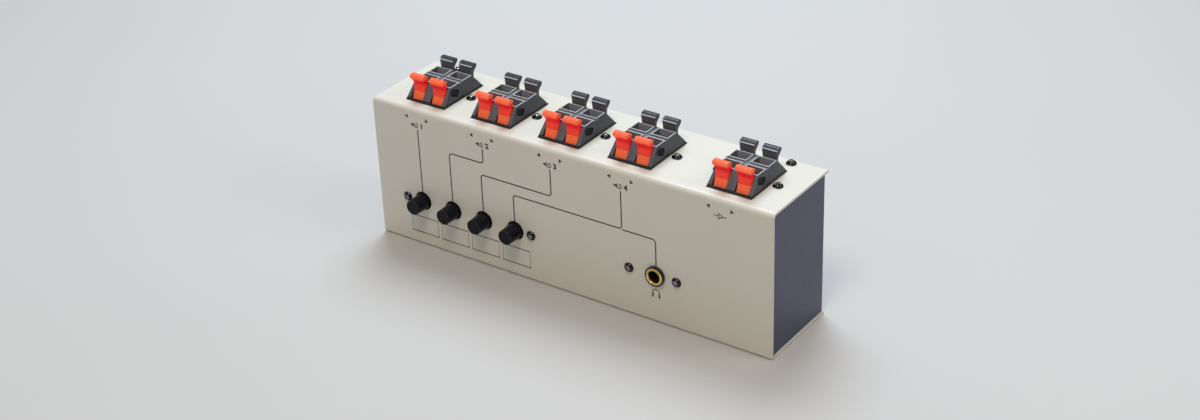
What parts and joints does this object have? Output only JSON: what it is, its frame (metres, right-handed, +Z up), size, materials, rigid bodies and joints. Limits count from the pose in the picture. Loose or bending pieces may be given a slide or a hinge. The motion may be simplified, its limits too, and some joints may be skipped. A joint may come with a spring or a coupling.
{
  "type": "speaker selector switch",
  "caption": "Slim sheet-metal switch box with spring-lever speaker terminals in blocks along its top, push buttons and a headphone socket on its front.",
  "frame": {"origin": "middle of the case's bottom face, which it stands on", "axes": "+X along the front from left to right as the buttons are seen, +Y from the front to the back, +Z up"},
  "size_m": [0.25, 0.0652, 0.0974],
  "materials": {
    "cream_paint": "satin baked enamel, near-white warm",
    "slate_paint": "satin baked enamel, slate grey",
    "black_steel": "blackened steel, semi-gloss",
    "charcoal_plastic": "moulded, fine matt grain",
    "red_plastic": "moulded, satin gloss",
    "black_plastic": "moulded, satin gloss",
    "button_plastic": "moulded, satin",
    "collar_plastic": "moulded, satin",
    "socket_plastic": "moulded, matt",
    "switch_plastic": "moulded, matt",
    "white_plastic": "moulded, matt",
    "gold_plate": "polished, gold plated",
    "tinned_brass": "tin plated",
    "spring_steel": "bright drawn",
    "plated_steel": "zinc plated",
    "board": "paper laminate, brown",
    "resistor_body": "lacquered",
    "wire_insulation": "soft plastic insulation"
  },
  "bodies": {
    "case": {"front_cover": "cream_paint", "rear_cover": "slate_paint", "screws": "black_steel", "speaker_1_housing": "charcoal_plastic", "speaker_1_contact_bars": "tinned_brass", "speaker_1_contact_springs": "spring_steel", "speaker_2_housing": "charcoal_plastic", "speaker_2_contact_bars": "tinned_brass", "speaker_2_contact_springs": "spring_steel", "speaker_3_housing": "charcoal_plastic", "speaker_3_contact_bars": "tinned_brass", "speaker_3_contact_springs": "spring_steel", "speaker_4_housing": "charcoal_plastic", "speaker_4_contact_bars": "tinned_brass", "speaker_4_contact_springs": "spring_steel", "amplifier_housing": "charcoal_plastic", "amplifier_contact_bars": "tinned_brass", "amplifier_contact_springs": "spring_steel", "return_springs": "spring_steel", "switch_bodies": "switch_plastic", "switch_bracket": "plated_steel", "switch_board": "board", "switch_pins": "tinned_brass", "headphone_resistors": "resistor_body", "socket_sleeve": "gold_plate", "socket_nut": "collar_plastic", "socket_plate": "plated_steel", "socket_body": "socket_plastic", "socket_contacts": "tinned_brass", "speaker_wires": "wire_insulation", "ground_bus": "tinned_brass", "headphone_wires": "wire_insulation"},
    "speaker_1_red_lever_left": {"speaker_1_red_lever_left": "red_plastic"},
    "speaker_1_black_lever_left": {"speaker_1_black_lever_left": "black_plastic"},
    "speaker_1_red_lever_right": {"speaker_1_red_lever_right": "red_plastic"},
    "speaker_1_black_lever_right": {"speaker_1_black_lever_right": "black_plastic"},
    "speaker_2_red_lever_left": {"speaker_2_red_lever_left": "red_plastic"},
    "speaker_2_black_lever_left": {"speaker_2_black_lever_left": "black_plastic"},
    "speaker_2_red_lever_right": {"speaker_2_red_lever_right": "red_plastic"},
    "speaker_2_black_lever_right": {"speaker_2_black_lever_right": "black_plastic"},
    "speaker_3_red_lever_left": {"speaker_3_red_lever_left": "red_plastic"},
    "speaker_3_black_lever_left": {"speaker_3_black_lever_left": "black_plastic"},
    "speaker_3_red_lever_right": {"speaker_3_red_lever_right": "red_plastic"},
    "speaker_3_black_lever_right": {"speaker_3_black_lever_right": "black_plastic"},
    "speaker_4_red_lever_left": {"speaker_4_red_lever_left": "red_plastic"},
    "speaker_4_black_lever_left": {"speaker_4_black_lever_left": "black_plastic"},
    "speaker_4_red_lever_right": {"speaker_4_red_lever_right": "red_plastic"},
    "speaker_4_black_lever_right": {"speaker_4_black_lever_right": "black_plastic"},
    "amplifier_red_lever_left": {"amplifier_red_lever_left": "red_plastic"},
    "amplifier_black_lever_left": {"amplifier_black_lever_left": "black_plastic"},
    "amplifier_red_lever_right": {"amplifier_red_lever_right": "red_plastic"},
    "amplifier_black_lever_right": {"amplifier_black_lever_right": "black_plastic"},
    "button_1": {"button_1_cap": "button_plastic", "button_1_plunger": "white_plastic"},
    "button_2": {"button_2_cap": "button_plastic", "button_2_plunger": "white_plastic"},
    "button_3": {"button_3_cap": "button_plastic", "button_3_plunger": "white_plastic"},
    "button_4": {"button_4_cap": "button_plastic", "button_4_plunger": "white_plastic"}
  },
  "joints": [
    {"name": "speaker_1_red_lever_left_pivot", "type": "hinge", "parent": "case", "child": "speaker_1_red_lever_left", "pos_m": [-0.1017, -0.0134, 0.0868], "axis": [1, 0, 0], "range_deg": [0, 20], "stiffness_Nm_per_rad": 0.05, "springref_deg": -11.46, "deforming": ["speaker_1_contact_springs"]},
    {"name": "speaker_1_black_lever_left_pivot", "type": "hinge", "parent": "case", "child": "speaker_1_black_lever_left", "pos_m": [-0.1017, 0.0098, 0.0868], "axis": [-1, 0, 0], "range_deg": [0, 20], "stiffness_Nm_per_rad": 0.05, "springref_deg": -11.46, "deforming": ["speaker_1_contact_springs"]},
    {"name": "speaker_1_red_lever_right_pivot", "type": "hinge", "parent": "case", "child": "speaker_1_red_lever_right", "pos_m": [-0.0887, -0.0134, 0.0868], "axis": [1, 0, 0], "range_deg": [0, 20], "stiffness_Nm_per_rad": 0.05, "springref_deg": -11.46, "deforming": ["speaker_1_contact_springs"]},
    {"name": "speaker_1_black_lever_right_pivot", "type": "hinge", "parent": "case", "child": "speaker_1_black_lever_right", "pos_m": [-0.0887, 0.0098, 0.0868], "axis": [-1, 0, 0], "range_deg": [0, 20], "stiffness_Nm_per_rad": 0.05, "springref_deg": -11.46, "deforming": ["speaker_1_contact_springs"]},
    {"name": "speaker_2_red_lever_left_pivot", "type": "hinge", "parent": "case", "child": "speaker_2_red_lever_left", "pos_m": [-0.0579, -0.0134, 0.0868], "axis": [1, 0, 0], "range_deg": [0, 20], "stiffness_Nm_per_rad": 0.05, "springref_deg": -11.46, "deforming": ["speaker_2_contact_springs"]},
    {"name": "speaker_2_black_lever_left_pivot", "type": "hinge", "parent": "case", "child": "speaker_2_black_lever_left", "pos_m": [-0.0579, 0.0098, 0.0868], "axis": [-1, 0, 0], "range_deg": [0, 20], "stiffness_Nm_per_rad": 0.05, "springref_deg": -11.46, "deforming": ["speaker_2_contact_springs"]},
    {"name": "speaker_2_red_lever_right_pivot", "type": "hinge", "parent": "case", "child": "speaker_2_red_lever_right", "pos_m": [-0.0449, -0.0134, 0.0868], "axis": [1, 0, 0], "range_deg": [0, 20], "stiffness_Nm_per_rad": 0.05, "springref_deg": -11.46, "deforming": ["speaker_2_contact_springs"]},
    {"name": "speaker_2_black_lever_right_pivot", "type": "hinge", "parent": "case", "child": "speaker_2_black_lever_right", "pos_m": [-0.0449, 0.0098, 0.0868], "axis": [-1, 0, 0], "range_deg": [0, 20], "stiffness_Nm_per_rad": 0.05, "springref_deg": -11.46, "deforming": ["speaker_2_contact_springs"]},
    {"name": "speaker_3_red_lever_left_pivot", "type": "hinge", "parent": "case", "child": "speaker_3_red_lever_left", "pos_m": [-0.0141, -0.0134, 0.0868], "axis": [1, 0, 0], "range_deg": [0, 20], "stiffness_Nm_per_rad": 0.05, "springref_deg": -11.46, "deforming": ["speaker_3_contact_springs"]},
    {"name": "speaker_3_black_lever_left_pivot", "type": "hinge", "parent": "case", "child": "speaker_3_black_lever_left", "pos_m": [-0.0141, 0.0098, 0.0868], "axis": [-1, 0, 0], "range_deg": [0, 20], "stiffness_Nm_per_rad": 0.05, "springref_deg": -11.46, "deforming": ["speaker_3_contact_springs"]},
    {"name": "speaker_3_red_lever_right_pivot", "type": "hinge", "parent": "case", "child": "speaker_3_red_lever_right", "pos_m": [-0.0011, -0.0134, 0.0868], "axis": [1, 0, 0], "range_deg": [0, 20], "stiffness_Nm_per_rad": 0.05, "springref_deg": -11.46, "deforming": ["speaker_3_contact_springs"]},
    {"name": "speaker_3_black_lever_right_pivot", "type": "hinge", "parent": "case", "child": "speaker_3_black_lever_right", "pos_m": [-0.0011, 0.0098, 0.0868], "axis": [-1, 0, 0], "range_deg": [0, 20], "stiffness_Nm_per_rad": 0.05, "springref_deg": -11.46, "deforming": ["speaker_3_contact_springs"]},
    {"name": "speaker_4_red_lever_left_pivot", "type": "hinge", "parent": "case", "child": "speaker_4_red_lever_left", "pos_m": [0.0297, -0.0134, 0.0868], "axis": [1, 0, 0], "range_deg": [0, 20], "stiffness_Nm_per_rad": 0.05, "springref_deg": -11.46, "deforming": ["speaker_4_contact_springs"]},
    {"name": "speaker_4_black_lever_left_pivot", "type": "hinge", "parent": "case", "child": "speaker_4_black_lever_left", "pos_m": [0.0297, 0.0098, 0.0868], "axis": [-1, 0, 0], "range_deg": [0, 20], "stiffness_Nm_per_rad": 0.05, "springref_deg": -11.46, "deforming": ["speaker_4_contact_springs"]},
    {"name": "speaker_4_red_lever_right_pivot", "type": "hinge", "parent": "case", "child": "speaker_4_red_lever_right", "pos_m": [0.0427, -0.0134, 0.0868], "axis": [1, 0, 0], "range_deg": [0, 20], "stiffness_Nm_per_rad": 0.05, "springref_deg": -11.46, "deforming": ["speaker_4_contact_springs"]},
    {"name": "speaker_4_black_lever_right_pivot", "type": "hinge", "parent": "case", "child": "speaker_4_black_lever_right", "pos_m": [0.0427, 0.0098, 0.0868], "axis": [-1, 0, 0], "range_deg": [0, 20], "stiffness_Nm_per_rad": 0.05, "springref_deg": -11.46, "deforming": ["speaker_4_contact_springs"]},
    {"name": "amplifier_red_lever_left_pivot", "type": "hinge", "parent": "case", "child": "amplifier_red_lever_left", "pos_m": [0.0885, -0.0134, 0.0868], "axis": [1, 0, 0], "range_deg": [0, 20], "stiffness_Nm_per_rad": 0.05, "springref_deg": -11.46, "deforming": ["amplifier_contact_springs"]},
    {"name": "amplifier_black_lever_left_pivot", "type": "hinge", "parent": "case", "child": "amplifier_black_lever_left", "pos_m": [0.0885, 0.0098, 0.0868], "axis": [-1, 0, 0], "range_deg": [0, 20], "stiffness_Nm_per_rad": 0.05, "springref_deg": -11.46, "deforming": ["amplifier_contact_springs"]},
    {"name": "amplifier_red_lever_right_pivot", "type": "hinge", "parent": "case", "child": "amplifier_red_lever_right", "pos_m": [0.1015, -0.0134, 0.0868], "axis": [1, 0, 0], "range_deg": [0, 20], "stiffness_Nm_per_rad": 0.05, "springref_deg": -11.46, "deforming": ["amplifier_contact_springs"]},
    {"name": "amplifier_black_lever_right_pivot", "type": "hinge", "parent": "case", "child": "amplifier_black_lever_right", "pos_m": [0.1015, 0.0098, 0.0868], "axis": [-1, 0, 0], "range_deg": [0, 20], "stiffness_Nm_per_rad": 0.05, "springref_deg": -11.46, "deforming": ["amplifier_contact_springs"]},
    {"name": "button_1_press", "type": "slide", "parent": "case", "child": "button_1", "axis": [0, 1, 0], "range_m": [0, 0.004], "stiffness_N_per_m": 300, "springref_m": -0.006, "deforming": ["return_springs"]},
    {"name": "button_2_press", "type": "slide", "parent": "case", "child": "button_2", "axis": [0, 1, 0], "range_m": [0, 0.004], "stiffness_N_per_m": 300, "springref_m": -0.006, "deforming": ["return_springs"]},
    {"name": "button_3_press", "type": "slide", "parent": "case", "child": "button_3", "axis": [0, 1, 0], "range_m": [0, 0.004], "stiffness_N_per_m": 300, "springref_m": -0.006, "deforming": ["return_springs"]},
    {"name": "button_4_press", "type": "slide", "parent": "case", "child": "button_4", "axis": [0, 1, 0], "range_m": [0, 0.004], "stiffness_N_per_m": 300, "springref_m": -0.006, "deforming": ["return_springs"]}
  ]
}
